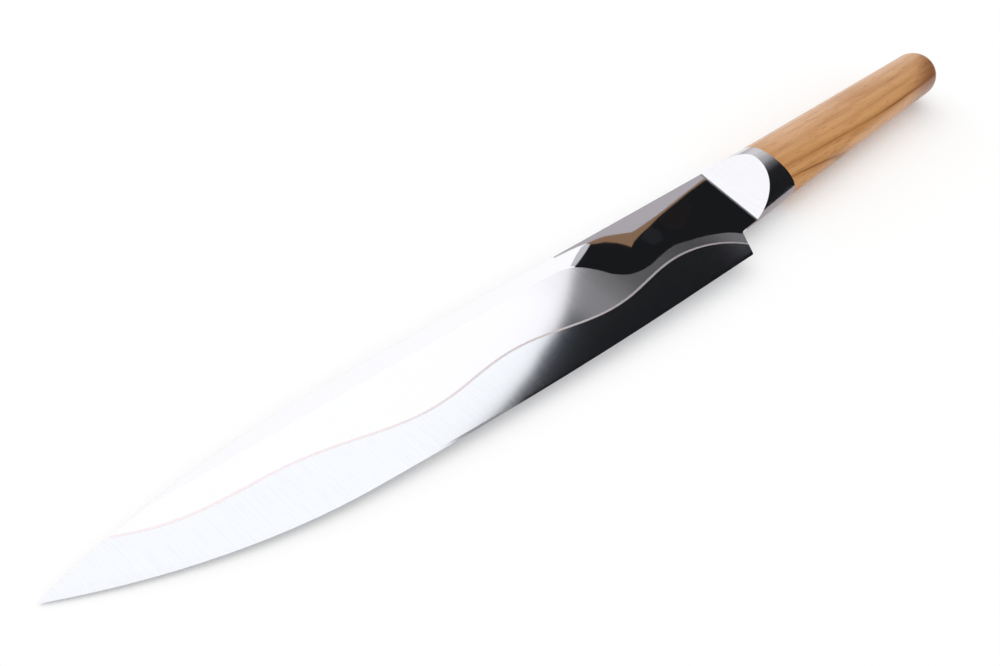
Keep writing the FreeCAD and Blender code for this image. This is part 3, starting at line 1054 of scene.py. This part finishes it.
# The painted overhead reflection from above, cut back where the bevel near the tip would show it to the
# camera.
OVERHEAD_MM: Outline = (
    (-700.0, 300.0),
    (-700.0, -500.0),
    (200.0, -500.0),
    (200.0, -50.0),
    (134.0, -38.0),
    (54.0, -26.0),
    (-31.0, -6.0),
    (-98.0, 18.0),
    (-160.0, 44.0),
    (-200.0, 50.0),
    (-290.0, 58.0),
    (-310.0, 300.0),
)
OVERHEAD_HEIGHT_MM = 900.0

# The painted reflection round the ring, beyond the handle, across and up, with a corner left out for the
# flags behind it.
GRADED_MM: Outline = (
    (20.0, 60.0),
    (420.0, 60.0),
    (420.0, 384.0),
    (172.0, 384.0),
    (172.0, 470.0),
    (20.0, 470.0),
)
GRADED_REACH_MM = 548.0

CARDS: tuple[Card, ...] = (
    # Painted reflection: a near-black glowing card that the rear of the blade mirrors, with a bluish hem
    # at its foot.
    Flag(
        "painted_dark_reflection",
        plain("#1e1f21"),
        outline_mm=FLAG_TOP + FLAG_SIDE + FLAG_FRONT + FLAG_FOOT,
        upright_mm=((-700.0, 1300.0), (-700.0, -60.0), (0.0, -60.0)),
    ),
    Flag("blue_hem", plain("#121c30"), reach_mm=549.6, outline_mm=FLAG_FOOT + BLUE_HEM),
    # Painted reflections: faint shapes in the dark.
    Flag("dim_card", plain("#28292c"), reach_mm=549.2, outline_mm=DIM_PATCH),
    Flag("brown_card", plain("#242121"), reach_mm=549.2, outline_mm=BROWN_PATCH),
    # Painted reflections: a glimmer at the heel.
    Flag("heel_card_dim", plain("#2e2e32"), reach_mm=549.4, outline_mm=HEEL_DIM),
    Flag("heel_card_pale", plain("#525256"), reach_mm=549.0, outline_mm=HEEL_PALE),
    # Painted reflections: the light edge of the dark, a brown band over it and the grey strip along the
    # spine.
    Flag("pale_hem", plain("#dddce0"), reach_mm=551.0, outline_mm=FLAG_TOP[-1:] + FLAG_SIDE + PALE_HEM),
    Flag("painted_brown_reflection", plain("#98785e"), reach_mm=552.0, outline_mm=FLAG_TOP + BROWN_REFLECTION_TOP),
    Flag(
        "painted_grey_reflection",
        plain("#c6c1c5"),
        reach_mm=556.0,
        outline_mm=GREY_REFLECTION_SIDE + BROWN_REFLECTION_TOP,
        upright_mm=((800.0, -30.0), (800.0, 260.0)),
        close_mm=GREY_REFLECTION_TOP,
    ),
    # Painted reflection: pale to dark round the bolster's ring.
    Card(
        "painted_ring_reflection",
        (
            (20.0, "#1c1c1e"),
            (75.0, "#606064"),
            (105.0, "#7a7a7c"),
            (155.0, "#c4c0c0"),
            (200.0, "#eceaea"),
            (350.0, "#f2f0f0"),
            (420.0, "#e0d8d6"),
        ),
        tuple((GRADED_REACH_MM, across, up) for across, up in GRADED_MM),
    ),
    # Painted reflection: a grey glowing card just over the floor, which the ring's lower side mirrors.
    Card(
        "painted_lower_ring_reflection",
        plain("#bcb2b2"),
        ((-8.0, -24.0, -6.4), (44.0, -24.0, -7.7), (372.0, -190.0, -16.1), (232.0, -262.0, -12.6)),
    ),
    # Painted reflection: shades the blade like steel when it is seen from above.
    Card(
        "painted_overhead_reflection",
        ((-520.0, "#d0d1d4"), (-330.0, "#a9abb0"), (-90.0, "#f0f0f1"), (200.0, "#ffffff")),
        tuple((along, across, OVERHEAD_HEIGHT_MM) for along, across in OVERHEAD_MM),
        Axis.ALONG_KNIFE,
    ),
)


@dataclass(frozen=True)
class Stage:
    """Pale floor under the knife as it lies, white surroundings, one softbox and the glowing cards that
    paint reflections.
    """

    floor: str = "#f2f2f2"
    floor_m: float = 12.0
    floor_lift: float = 0.14
    # The knife rests on its bolster and its tip, so the floor leans along it through this point.
    rest_mm: Triple = (15.9, -9.2, -7.55)
    rest_slope: float = 0.0258
    sky: str = "#ffffff"
    sky_level: float = 0.80
    softbox_mm: Triple = (100.0, 350.0, 950.0)
    softbox_m: Pair = (2.0, 1.6)
    softbox_watts: float = 4.0
    cards: tuple[Card, ...] = CARDS

    def build(self, eye: Eye) -> None:
        """Set the whole stage.

        Args:
            eye: the camera, which the cards are cut for.
        """
        self.lay_floor()
        self.light_sky()
        self.hang_softbox()
        for card in self.cards:
            card.build(eye)

    def background(self, tree: bpy.types.NodeTree) -> bpy.types.NodeSocket:
        """Tell the rays that show the background from those that only light the knife.

        Args:
            tree: node tree of the floor or of the surroundings.

        Returns:
            A socket that is 1 for the camera, in metal and through glass, and 0 otherwise.
        """
        path = add(tree, "LightPath")
        shown = path.outputs["Is Camera Ray"]
        for ray in ("Is Glossy Ray", "Is Transmission Ray"):
            either = add(tree, "Math", {"operation": "MAXIMUM"}, {0: shown, 1: path.outputs[ray]})
            shown = either.outputs["Value"]
        return shown

    def lay_floor(self) -> bpy.types.Object:
        """Lay the floor where the bolster and the tip touch it.

        Returns:
            The floor.
        """
        material, tree = new_material("studio_floor_paint")
        lift = add(
            tree, "Math", {"operation": "MULTIPLY", 1: self.floor_lift}, {0: self.background(tree)}
        )
        paint = add(tree, "BsdfDiffuse", {"Color": linear(self.floor)})
        glow = add(tree, "Emission", None, {"Strength": lift.outputs["Value"]})
        both = add(tree, "AddShader", None, {0: paint.outputs["BSDF"], 1: glow.outputs["Emission"]})
        add(tree, "OutputMaterial", None, {"Surface": both.outputs["Shader"]})
        half = self.floor_m / 2
        square = ((-half, -half), (half, -half), (half, half), (-half, half))
        floor = flat_sheet("floor", [Vector((x, y, 0.0)) for x, y in square], material)
        turn = Matrix.Rotation(math.atan(self.rest_slope), 4, "Y")
        floor.matrix_world = Matrix.Translation(Vector(self.rest_mm) * MM) @ turn
        return floor

    def light_sky(self) -> None:
        """Make the surroundings white to the eye and in reflections, and soft as a light."""
        world = bpy.data.worlds.new("white_studio")
        bpy.context.scene.world = world
        world.use_nodes = True
        tree = world.node_tree
        tree.nodes.clear()
        strength = add(
            tree,
            "MapRange",
            {"To Min": self.sky_level, "To Max": 1.0},
            {"Value": self.background(tree)},
        )
        sky = add(
            tree, "Background", {"Color": linear(self.sky)}, {"Strength": strength.outputs["Result"]}
        )
        add(tree, "OutputWorld", None, {"Surface": sky.outputs["Background"]})

    def hang_softbox(self) -> bpy.types.Object:
        """Hang the softbox level over the knife, further over its far side.

        Returns:
            The lamp.
        """
        data = bpy.data.lights.new("softbox", "AREA")
        data.shape = "RECTANGLE"
        data.size, data.size_y = self.softbox_m
        data.energy = self.softbox_watts
        lamp = bpy.data.objects.new("softbox", data)
        lamp.matrix_world = Matrix.Translation(Vector(self.softbox_mm) * MM)
        bpy.context.scene.collection.objects.link(lamp)
        log.info("hung the softbox")
        return lamp


def main() -> None:
    """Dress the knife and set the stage."""
    logging.basicConfig(level=logging.INFO)
    bpy.context.scene.view_settings.view_transform = "Standard"
    eye = Eye()
    eye.build()
    Blade().dress()
    Grip().dress()
    Stage().build(eye)


if __name__ == "__main__":
    main()
